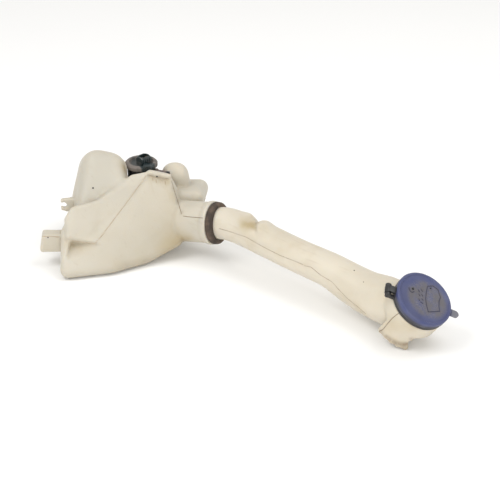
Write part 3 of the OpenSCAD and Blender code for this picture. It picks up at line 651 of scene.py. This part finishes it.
def dense(points, step):
    """A broken line with a point at every step."""
    made = []
    for (ax, ay), (bx, by) in zip(points, points[1:]):
        parts = max(1, int(math.hypot(bx - ax, by - ay) / step))
        made += [(ax + (bx - ax) * k / parts, ay + (by - ay) * k / parts) for k in range(parts)]
    return made + [points[-1]]


def unbroken(places_found, jump):
    """Splits a row of places where it has a hole or leaps."""
    runs, run = [], []
    for place in places_found:
        if place is None or (run and (place - run[-1]).length > jump):
            runs.append(run)
            run = []
        if place is not None:
            run.append(place)
    runs.append(run)
    return [r for r in runs if len(r) > 3]


def settled(skin, run):
    """Evens out a row of places and lays it back on the skin."""
    for _ in range(3):
        run = [run[0]] + [(a + 2 * b + c) / 4 for a, b, c in zip(run, run[1:], run[2:])] + [run[-1]]
    return [trees[skin].find_nearest(place)[0] for place in run]


LEAP = 4.0 * MM


def traced(skin, points, step=0.7):
    """Runs of places on a skin that lie under a broken line in the frame."""
    found = [spot(skin, px, py) for px, py in dense(points, step)]
    return [settled(skin, run) for run in unbroken(found, LEAP)]


print("skins can be traced")

# %% [markdown]
# ## Grime, stains and painted shade
# Dirt gathers where a cloth can't reach: in creases, at the bottom edge, round the seal. The same places
# also get painted shade. Each skin gets three painted attributes, computed from its own shape and from a
# few places seen in the photograph.


# %% Helpers that paint
def paint(obj, name, values):
    """Stores one value from nought to one on each point of a skin."""
    layer = obj.data.attributes.new(name, "FLOAT", "POINT")
    layer.data.foreach_set("value", np.clip(values, 0.0, 1.0).astype(np.float32))


def hollow_share(mesh, rounds):
    """How deep each point lies below the middle of its neighbourhood, in millimetres."""
    co = places(mesh)
    edges = np.empty(len(mesh.edges) * 2, np.int64)
    mesh.edges.foreach_get("vertices", edges)
    soft = relax(co, edges.reshape(-1, 2), rounds, np.full(len(co), 0.5))
    normals = np.empty(len(co) * 3)
    mesh.vertices.foreach_get("normal", normals)
    return np.einsum("ij,ij->i", soft - co, normals.reshape(-1, 3)) / MM


def patches(skin, co, rows):
    """The sum of soft round patches, each a place in the frame, a reach in millimetres and a strength."""
    total = np.zeros(len(co))
    for px, py, reach, strength in rows:
        middle = spot(skin, px, py)
        if middle is not None:
            away = np.linalg.norm(co - np.array(middle), axis=1) / (reach * MM)
            total += strength * np.exp(-away * away)
    return total


print("painting helpers ready")

# %% [markdown]
# The tank is yellow in the hollow under its facet and under the ledge, where painted shade is mixed into
# the stain, beside the pump, and at its lower right, where the photograph shows the darkest plastic. Its
# creases and bottom edge get painted shade along with the grime.

# %% Paint the tank
tank_co = places(tank.data)
tank_p = to_tank(tank_co)
# Creases and the bottom edge are darkened, yellowed and greyed: painted shade as well as grime and stain.
crease = np.clip(hollow_share(tank.data, 14) / 0.5, 0.0, 1.0)
low = np.clip((16.0 - tank_p[:, 2]) / 16.0, 0.0, 1.0)
# The pocket's and the ledge's patches are yellow stain with painted shade, for the pocket and the ledge's
# shaded underside.
pocket_stains_and_shade = [(70, 244, 6, 0.32), (78, 248, 8, 0.38), (88, 246, 6, 0.28), (50, 248, 10, 0.14)]
ledge_shadow_and_stains = [(152, 179, 4, 0.50), (160, 180, 4, 0.62), (167, 182, 4, 0.58), (172, 196, 7, 0.25)]
panel_stains = [(176, 240, 14, 0.50), (165, 252, 14, 0.36), (184, 239, 9, 0.38), (190, 238, 6, 0.30),
                (160, 222, 26, 0.20), (140, 262, 12, 0.22), (120, 266, 12, 0.20), (110, 246, 22, 0.12),
                (150, 250, 24, 0.12), (172, 214, 16, 0.12)]
pump_stains = [(123.5, 167, 6, 0.60), (125.0, 170, 4, 0.40)]
tank_stains_and_shade = pocket_stains_and_shade + ledge_shadow_and_stains + panel_stains + pump_stains
# Dark patches on the crease at the panel's right edge, in the pocket, under the ledge and along the bottom:
# dirt, with painted shade in the pocket, under the ledge and along the bottom.
tank_dirt_and_shade = [(173, 188, 3, 0.25), (177, 201, 3, 0.35), (181, 212, 3, 0.45), (160, 176, 2.5, 0.25),
             (66, 239, 3, 0.15), (145, 262, 5, 0.18), (126, 267, 5, 0.16), (183, 240, 4, 0.25)]
# The last patch has a negative strength: it paints the dome lighter and creamier, a painted light.
tank_chalk_and_light = [(95, 172, 24, 0.45), (88, 192, 18, 0.45), (105, 160, 14, 0.25), (196, 226, 14, 0.35),
              (189, 205, 8, 0.30), (66, 230, 7, 0.30), (120, 190, 16, 0.20), (160, 235, 26, 0.40),
              (120, 255, 30, 0.35), (196, 186, 14, 0.25), (177, 166, 12, -0.55)]
paint(tank, "stain_and_shade", 0.22 * crease + 0.16 * low + patches("tank", tank_co, tank_stains_and_shade))
paint(tank, "grime_and_shade", 0.22 * crease + 0.14 * low ** 2 + patches("tank", tank_co, tank_dirt_and_shade))
paint(tank, "chalk_light_and_shade", 0.55 + 0.25 * low + patches("tank", tank_co, tank_chalk_and_light))
print("painted", len(tank_co), "points of the tank")

# %% [markdown]
# The neck has a dent near the seal, with a sharp far edge and a small swelling behind it, as if a tool had
# pressed the warm tube. The dent is pushed into the skin point by point: one soft band along the tube's
# near face goes in, and another along its top rises, falls and rises again. Both are laid out in
# millimetres along a slanted line, because the dent's far edge runs askew over the tube.

# %% Dent the neck
DENT_DEPTH = 2.8
DENT_SLANT = 0.72
SHOULDER, NOTCH, SWELLING = (2.6, -5.0, 6.5), (-3.4, 8.5, 4.0), (1.0, 22.0, 6.0)


def hump(along, height, middle, width):
    return height * np.exp(-((along - middle) / width) ** 2)


neck_co = places(neck.data)
dent_at, dent_up, _, _ = trees["neck"].ray_cast(eye, photo_ray(250.0, 223.0))
run_way = Vector((1.0, 0.0, 0.0))
run_way = (run_way - dent_up * run_way.dot(dent_up)).normalized()
side_way = dent_up.cross(run_way)
away = neck_co - np.array(dent_at)
run = away @ np.array(run_way) / MM
side = away @ np.array(side_way) / MM
over = away @ np.array(dent_up) / MM
slant = run + DENT_SLANT * side
near_face = hump(side, 1.0, 0.0, 7.0) * (over > -9.0)
top_ridge = hump(side, 1.0, 14.0, 8.0) * (over > -16.0)
fall = np.clip((slant + 15.0) / 20.0, 0.0, 1.0) ** 1.6 * np.clip((10.0 - slant) / 1.6, 0.0, 1.0)
wave = hump(slant, *SHOULDER) + hump(slant, *NOTCH) + hump(slant, *SWELLING)
neck_co -= np.outer(DENT_DEPTH * near_face * fall, np.array(dent_up)) * MM
neck_co += np.outer(top_ridge * wave, np.array((dent_up + side_way).normalized())) * MM
print("dent at", [round(v, 4) for v in dent_at])

# %% [markdown]
# The apron ends in a torn edge, since a knife cut it and not a mould. A few places on the edge are dragged
# outward, each with its own reach, as with a sculpting brush. What would sink below the floor slides
# along the line of sight until it rests on it.


# %% Tear the apron's edge
def dragged(skin, co, rows, reach):
    """Moves points near each place in the frame by a step in the frame, fading with distance."""
    total = np.zeros_like(co)
    for px, py, dx, dy in rows:
        middle = spot(skin, px, py)
        if middle is not None:
            step = (view_right * dx - view_up * dy) * ((middle - eye).length / FOCUS_PX)
            away = np.linalg.norm(co - np.array(middle), axis=1) / (reach * MM)
            total += np.outer(np.exp(-away * away), np.array(step))
    return co + total


HEM = [(380.5, 330.4, -1.2, 1.2), (383.0, 333.2, -0.5, 0.0), (385.6, 336.0, -0.9, 1.7),
       (388.4, 338.5, -0.4, 0.0), (391.2, 340.5, -0.7, 2.3), (394.2, 342.3, -0.2, 0.5),
       (397.2, 343.6, -0.3, 2.7), (400.2, 344.5, 0.2, 1.0), (403.0, 344.9, 0.6, 3.4),
       (405.5, 344.5, 1.8, 2.6), (407.4, 343.4, 1.0, 0.2), (411.2, 339.2, 0.8, 1.2)]
HEM_REACH = 2.6
neck_co = dragged("neck", neck_co, HEM, HEM_REACH)
sunk = np.minimum(neck_co[:, 2] - 0.1 * MM, 0.0)
neck_co -= np.outer(sunk / view_back.z, np.array(view_back))
set_places(neck.data, neck_co)
trees["neck"] = tree_of(neck)
print("torn places", len(HEM))

# %% [markdown]
# The dent is yellow with stain and painted shade, the hollows are yellowed with stain and painted shade,
# the seam's low end is brown, and the apron darkens towards its cut edge.

# %% Paint the neck
# The dent's yellow patches mix stain with painted shade in the dent.
dent_stains_and_shade = [(242, 225, 6, 0.40), (247, 224, 6, 0.55), (253, 223, 5, 0.60), (263, 227, 6, 0.30),
               (243, 219, 6, 0.22), (250, 218, 6, 0.30), (247, 228, 5, 0.35), (253, 227, 5, 0.45)]
tube_stains = [(346, 300, 7, 0.25), (356, 307, 7, 0.32), (366, 315, 8, 0.25), (292, 244, 16, 0.16),
               (310, 262, 8, 0.12), (330, 262, 14, 0.06)]
apron_stains = [(404, 322, 10, 0.24), (412, 326, 9, 0.22), (393, 326, 10, 0.34), (388, 319, 9, 0.20),
                (384, 328, 6, 0.25)]
neck_stains_and_shade = dent_stains_and_shade + tube_stains + apron_stains
# The first two patches darken the dent's sharp far edge with dirt and painted shade.
neck_dirt_and_shade = [(256.8, 223.0, 2.5, 0.45), (255.5, 220.5, 2.5, 0.25), (361, 312, 3, 0.25)]
neck_dirt_and_shade += [(px, py, HEM_REACH, 0.42) for px, py, _, _ in HEM]
neck_chalk = [(234, 216, 8, 0.25), (300, 270, 12, 0.15)]
rise = np.clip((24.0 - neck_co[:, 2] / MM) / 24.0, 0.0, 1.0) * (neck_co[:, 0] > 0.172)
tear = np.clip((3.5 - neck_co[:, 2] / MM) / 3.0, 0.0, 1.0) * (neck_co[:, 0] > 0.180)
# Hollows are yellowed: stain with painted shade.
hollow = np.clip(hollow_share(neck.data, 10) / 0.4, 0.0, 1.0)
paint(neck, "stain_and_shade", 0.30 * hollow + 0.40 * rise ** 2 + patches("neck", neck_co, neck_stains_and_shade))
paint(neck, "grime_and_shade", 0.55 * tear + patches("neck", neck_co, neck_dirt_and_shade))
paint(neck, "chalk_light_and_shade", patches("neck", neck_co, neck_chalk))
print("painted", len(neck_co), "points of the neck")

# %% [markdown]
# ## Beads along paths
# A node tree has sockets, nodes and links. Three short helpers make them, so that each tree below reads
# as a list of nodes and then a list of links.


# %% Helpers for node trees
def new_tree(name, given, made):
    """An empty node tree with its named inputs and its output, and the identifiers of the inputs."""
    tree = bpy.data.node_groups.new(name, "GeometryNodeTree")
    sockets = {}
    for title, kind in given:
        sockets[title] = tree.interface.new_socket(title, in_out="INPUT", socket_type="NodeSocket" + kind)
    tree.interface.new_socket(made, in_out="OUTPUT", socket_type="NodeSocketGeometry")
    return tree, {title: socket.identifier for title, socket in sockets.items()}


def tree_node(tree, kind, **values):
    made = tree.nodes.new(kind)
    for key, value in values.items():
        setattr(made, key, value)
    return made


def wire(tree, links):
    for source, target in links:
        tree.links.new(source, target)


print("tree helpers ready")

# %% [markdown]
# A mould's two halves leave a thin raised seam. One node tree makes every such bead: it turns a row of
# edges into a curve, thins the curve at both ends, and sweeps a small circle along it. The path carries
# the shape and the tree carries the section, so a seam can be moved or thickened without new modelling.


# %% A node tree for beads
def bead_tree():
    inputs = (("Path", "Geometry"), ("Bead radius", "Float"), ("Bead sides", "Int"), ("Finish", "Material"))
    tree, names = new_tree("bead_on_path", inputs, "Bead")
    entry = tree_node(tree, "NodeGroupInput")
    leave = tree_node(tree, "NodeGroupOutput")
    curve = tree_node(tree, "GeometryNodeMeshToCurve")
    taper = tree_node(tree, "GeometryNodeSetCurveRadius")
    sweep = tree_node(tree, "GeometryNodeCurveToMesh")
    sweep.inputs["Fill Caps"].default_value = True
    along = tree_node(tree, "GeometryNodeSplineParameter")
    back = tree_node(tree, "ShaderNodeMath", operation="SUBTRACT")
    back.inputs[0].default_value = 1.0
    least = tree_node(tree, "ShaderNodeMath", operation="MINIMUM")
    ends = tree_node(tree, "ShaderNodeMapRange")
    for socket, number in (("From Max", 0.06), ("To Min", 0.25), ("To Max", 1.0)):
        ends.inputs[socket].default_value = number
    ring = tree_node(tree, "GeometryNodeCurvePrimitiveCircle")
    smooth = tree_node(tree, "GeometryNodeSetShadeSmooth")
    whole = tree_node(tree, "GeometryNodeRealizeInstances")
    dress = tree_node(tree, "GeometryNodeSetMaterial")
    wire(tree, (
        (entry.outputs["Path"], curve.inputs["Mesh"]),
        (curve.outputs["Curve"], taper.inputs["Curve"]),
        (along.outputs["Factor"], back.inputs[1]),
        (along.outputs["Factor"], least.inputs[0]),
        (back.outputs[0], least.inputs[1]),
        (least.outputs[0], ends.inputs["Value"]),
        (ends.outputs["Result"], taper.inputs["Radius"]),
        (taper.outputs["Curve"], sweep.inputs["Curve"]),
        (entry.outputs["Bead radius"], ring.inputs["Radius"]),
        (entry.outputs["Bead sides"], ring.inputs["Resolution"]),
        (ring.outputs["Curve"], sweep.inputs["Profile Curve"]),
        (sweep.outputs["Mesh"], smooth.inputs["Geometry"]),
        (smooth.outputs["Geometry"], whole.inputs["Geometry"]),
        (whole.outputs["Geometry"], dress.inputs["Geometry"]),
        (entry.outputs["Finish"], dress.inputs["Material"]),
        (dress.outputs["Geometry"], leave.inputs["Bead"])))
    return tree, names


BEADS, BEAD_INPUTS = bead_tree()


def beads(name, runs, radius, finish, sides=8):
    """One piece with a bead along each run of places."""
    points, edges = [], []
    for run in runs:
        first = len(points)
        points += [tuple(place) for place in run]
        edges += [(first + k, first + k + 1) for k in range(len(run) - 1)]
    mesh = bpy.data.meshes.new(name)
    mesh.from_pydata(points, edges, [])
    obj = add_piece(name, mesh, finish)
    sweep = obj.modifiers.new("bead", "NODES")
    sweep.node_group = BEADS
    sweep[BEAD_INPUTS["Bead radius"]] = radius
    sweep[BEAD_INPUTS["Bead sides"]] = sides
    sweep[BEAD_INPUTS["Finish"]] = FINISHES[finish].mat
    made = baked(obj)
    made.name = name
    obj.modifiers.clear()
    obj.data = made
    print(name, "runs", len(runs), "faces", len(made.polygons))
    return obj


print("bead tree nodes:", len(BEADS.nodes))

# %% [markdown]
# The tank's seam starts on the lug, follows the facet's lower edge and climbs the diagonal ridge. Thin
# drips of the same colour hang under the ledge, and a bead of that colour along the ledge's lower edge is a
# painted shadow line. A darker line marks the crease at the panel's right edge and the seam on the socket.
# On the hidden side the seam runs round the back at half height.

# %% Seams of the tank
FINISHES["seam_plastic"] = dusty("seam_plastic", (0.540, 0.455, 0.345), (0.380, 0.295, 0.200),
                                 0.55, 0.1, 0.8, 120.0)
FINISHES["dark_line_plastic"] = dusty("dark_line_plastic", (0.200, 0.150, 0.100), (0.330, 0.260, 0.180),
                                0.80, 0.1, 0.9, 160.0)

tank_seam_and_shade_line = traced("tank", [(41.5, 236.5), (50, 236.3), (60, 237)])
tank_seam_and_shade_line += traced("tank", [(69, 240), (82, 242), (95, 243.5), (100, 238), (112, 222), (130, 198),
                             (146, 176)])
BACK_STEPS = 240
OUTSIDE = 0.25


def round_back(skin, middle, height, first, last):
    """Places on a skin, seen from all round at one height."""
    found = []
    for step in range(BACK_STEPS + 1):
        angle = math.radians(first + (last - first) * step / BACK_STEPS)
        out = Vector((math.cos(angle), math.sin(angle), 0.0))
        start = Vector(middle) + out * OUTSIDE
        start.z = height
        found.append(trees[skin].ray_cast(start, -out)[0])
    return [settled(skin, run) for run in unbroken(found, LEAP)]


LEDGE_DRIPS = [(152.5, 177.6, 180.6), (156.0, 179.0, 182.8), (160.5, 180.2, 183.4),
               (165.0, 180.6, 184.6)]
# A bead along the ledge's lower edge, in the seam's colour: a painted shadow line.
tank_seam_and_shade_line += traced("tank", [(149.5, 175.6), (155, 177.4), (162, 179), (168, 179.6)])
for px, top, end in LEDGE_DRIPS:
    tank_seam_and_shade_line += traced("tank", [(px, top), (px + 0.4, end)])
tank_seam_and_shade_line += round_back("tank", from_tank(75, 75, 0), 0.036, 62.0, 205.0)
seams_and_shade_line = beads("tank_seam_and_shade_line", tank_seam_and_shade_line, 0.42 * MM, "seam_plastic")
# A darker line is laid along the crease at the panel's right edge.
crease_line = traced("tank", [(171.5, 181), (174, 190), (178, 202), (181.5, 214)])
crease_line += traced("tank", [(183, 216), (190, 217), (203, 218)])
dark = beads("tank_crease", crease_line, 0.34 * MM, "dark_line_plastic")

# %% [markdown]
# The neck's seam runs along its near side, with a jog where the mould's slide met, and another seam
# runs along the far side. The apron has one short dark seam.

# %% Seams of the neck
FINISHES["neck_line"] = dusty("neck_line", (0.440, 0.370, 0.280), (0.270, 0.205, 0.140),
                              0.60, 0.1, 0.9, 120.0)
neck_line = traced("neck", [(219, 228.5), (229, 231.3), (246, 237), (263, 246.8), (280, 255.4),
                            (295, 261.2), (303, 264.6)])
neck_line += traced("neck", [(304.5, 265.8), (311, 267), (320.5, 275), (332, 281.8), (338, 288.7),
                             (348, 299), (357, 306), (366, 314)])
FAR_STEPS = 159
FAR_START, FAR_LENGTH, FAR_HEIGHT = -0.045, 0.200, 0.043
far_side = []
for step in range(FAR_STEPS + 1):
    x = FAR_START + FAR_LENGTH * step / FAR_STEPS
    far_side.append(trees["neck"].ray_cast(Vector((x, 0.2, FAR_HEIGHT)), Vector((0, -1, 0)))[0])
neck_line += [settled("neck", run) for run in unbroken(far_side, LEAP)]
neck_seam = beads("neck_seam", neck_line, 0.30 * MM, "neck_line")
apron_line = traced("neck", [(379, 331.5), (383, 329.5), (391, 319.5), (395, 316), (400, 312.5)])
apron_seam = beads("apron_seam", apron_line, 0.34 * MM, "dark_line_plastic")

# %% [markdown]
# ## The cap's sign
# A washer tank's cap carries the common sign of a windscreen and a spray of water. It stands up from the
# sunken face as thin ribs. The lines are laid on the plane of the face, seen through the camera.
# The ribs are darker than the cap, with dirt and painted shade.


# %% Ribs on the cap
def on_face(px, py):
    """The place on the cap's face that shows at a place in the frame."""
    way = photo_ray(px, py)
    share = (FACE_AT - eye).dot(MOUTH_UP) / way.dot(MOUTH_UP)
    return eye + way * share


def face_line(points, step=0.5):
    return [on_face(px, py) for px, py in dense(points, step)]


screen = [(427.6, 286.1), (426.3, 292.2), (425.6, 298.8), (426.3, 304.2), (428.3, 311.9), (434.0, 311.6),
          (439.7, 311.2), (439.0, 306.2), (439.0, 301.5), (440.4, 297.5), (438.0, 289.8), (433.0, 286.0),
          (427.6, 286.1)]
spray = [((420.9, 288.8), (422.6, 291.8)), ((418.2, 289.5), (419.6, 292.1)),
         ((418.6, 293.8), (420.1, 296.2)), ((421.6, 294.2), (422.9, 296.5)),
         ((418.6, 298.5), (419.9, 300.9)), ((421.8, 298.5), (423.1, 300.5)),
         ((420.3, 301.9), (423.1, 303.5))]
hook = [(408.9, 287.5), (409.9, 290.5), (411.9, 292.5), (414.2, 291.5)]
# The ribs' finish is darker than the cap's blue: dirt, and painted shade along the raised ribs.
FINISHES["sign_grime_and_shade"] = dusty("sign_grime_and_shade", (0.034, 0.036, 0.075), (0.075, 0.062, 0.060),
                                 0.55, 0.1, 0.9, 90.0)
sign_lines = [face_line(line) for line in [screen, hook] + spray]
sign = beads("cap_sign", sign_lines, 0.48 * MM, "sign_grime_and_shade")

# %% [markdown]
# ## Specks
# A few dark specks of tar break up the clean surfaces. Dark balls in two small holes in the cap and one in
# the tank's ledge are painted shade for the holes' dark insides. A second node tree sets a small ball on
# each place, half sunk.


# %% A node tree for specks
def speck_tree():
    inputs = (("Places", "Geometry"), ("Speck radius", "Float"), ("Finish", "Material"))
    tree, names = new_tree("ball_on_places", inputs, "Specks")
    entry = tree_node(tree, "NodeGroupInput")
    leave = tree_node(tree, "NodeGroupOutput")
    ico = tree_node(tree, "GeometryNodeMeshIcoSphere")
    ico.inputs["Subdivisions"].default_value = 2
    put = tree_node(tree, "GeometryNodeInstanceOnPoints")
    vary = tree_node(tree, "FunctionNodeRandomValue", data_type="FLOAT")
    vary.inputs[2].default_value = 0.75
    vary.inputs[3].default_value = 1.25
    vary.inputs["Seed"].default_value = 4
    whole = tree_node(tree, "GeometryNodeRealizeInstances")
    dress = tree_node(tree, "GeometryNodeSetMaterial")
    wire(tree, (
        (entry.outputs["Places"], put.inputs["Points"]),
        (entry.outputs["Speck radius"], ico.inputs["Radius"]),
        (ico.outputs["Mesh"], put.inputs["Instance"]),
        (vary.outputs[1], put.inputs["Scale"]),
        (put.outputs["Instances"], whole.inputs["Geometry"]),
        (whole.outputs["Geometry"], dress.inputs["Geometry"]),
        (entry.outputs["Finish"], dress.inputs["Material"]),
        (dress.outputs["Geometry"], leave.inputs["Specks"])))
    return tree, names


SPECKS, SPECK_INPUTS = speck_tree()


def specks(name, found, radius, finish):
    """One piece with a small ball on each place."""
    mesh = bpy.data.meshes.new(name)
    mesh.from_pydata([tuple(place) for place in found if place is not None], [], [])
    obj = add_piece(name, mesh, finish)
    put = obj.modifiers.new("specks", "NODES")
    put.node_group = SPECKS
    put[SPECK_INPUTS["Speck radius"]] = radius
    put[SPECK_INPUTS["Finish"]] = FINISHES[finish].mat
    made = baked(obj)
    made.name = name
    made.shade_smooth()
    obj.modifiers.clear()
    obj.data = made
    return obj


# The last place on the tank is the hole in the ledge; its dark ball and the cap's two are painted shade
# inside the holes.
on_tank = [spot("tank", 93, 188), spot("tank", 48, 237.5), spot("tank", 157, 176.5)]
on_neck = [spot("neck", 354.2, 270.5), spot("neck", 363.5, 282)]
cap_hole_places = [on_face(412.9, 288.8), on_face(430.6, 288.4)]
tank_specks_and_hole_shade = specks("tank_specks_and_hole_shade", on_tank, 0.85 * MM, "black_rubber")
neck_specks = specks("neck_specks", on_neck, 0.6 * MM, "black_rubber")
cap_hole_shades = specks("cap_hole_shades", cap_hole_places, 1.15 * MM, "black_rubber")
print("specks ready")

# %% [markdown]
# ## Softened edges
# Moulded plastic has no knife edges. The cap, its ring, the pump's top and the seal are copied with their
# flat faces joined up, and a narrow bevel rounds every edge that is sharper than thirty degrees.

# %% Bevelled copies
FLAT_ANGLE = math.radians(0.6)
BEVEL_ANGLE = math.radians(30)
CREASE_ANGLE = math.radians(40)


def softened(node, name, width):
    """A copy of a solid with a narrow bevel on its sharp edges."""
    mesh = merged_copy(node, name)
    work = bmesh.new()
    work.from_mesh(mesh)
    bmesh.ops.dissolve_limit(work, angle_limit=FLAT_ANGLE, verts=work.verts, edges=work.edges)
    work.to_mesh(mesh)
    work.free()
    obj = add_piece(name, mesh, slot_of[node])
    bevel = obj.modifiers.new("bevel", "BEVEL")
    bevel.width = width
    bevel.segments = 3
    bevel.limit_method = "ANGLE"
    bevel.angle_limit = BEVEL_ANGLE
    made = baked(obj)
    made.name = name
    obj.modifiers.clear()
    obj.data = made
    made.shade_smooth()
    made.set_sharp_from_angle(angle=CREASE_ANGLE)
    print(name, "faces", len(made.polygons))
    return obj


soft_pieces = [(softened("cap", "cap_soft", 0.5 * MM), "cap", "cap"),
               (softened("cap_ring", "cap_ring_soft", 0.3 * MM), "reservoir", "cap_ring"),
               (softened("end_cap", "pump_top_soft", 0.35 * MM), "reservoir", "end_cap"),
               (softened("neck_seal", "neck_seal_soft", 0.5 * MM), "reservoir", "neck_seal")]

# %% [markdown]
# ## Riding
# Every dressed piece rides on the body that carries it, so the ribs on the cap swing with the cap. A
# piece that covers a solid also stands for it.

# %% Ride and replace
for obj, body, node in soft_pieces + [(tank, "reservoir", "tank"), (neck, "reservoir", "filler_neck")]:
    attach(obj, body)
    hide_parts(node)
trim = [(seams_and_shade_line, "reservoir", "natural_plastic"), (dark, "reservoir", "natural_plastic"),
        (neck_seam, "reservoir", "natural_plastic"), (apron_seam, "reservoir", "natural_plastic"),
        (sign, "cap", "blue_plastic"), (tank_specks_and_hole_shade, "reservoir", "black_rubber"),
        (neck_specks, "reservoir", "black_rubber"), (cap_hole_shades, "cap", "black_rubber")]
for obj, body, slot in trim:
    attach(obj, body)
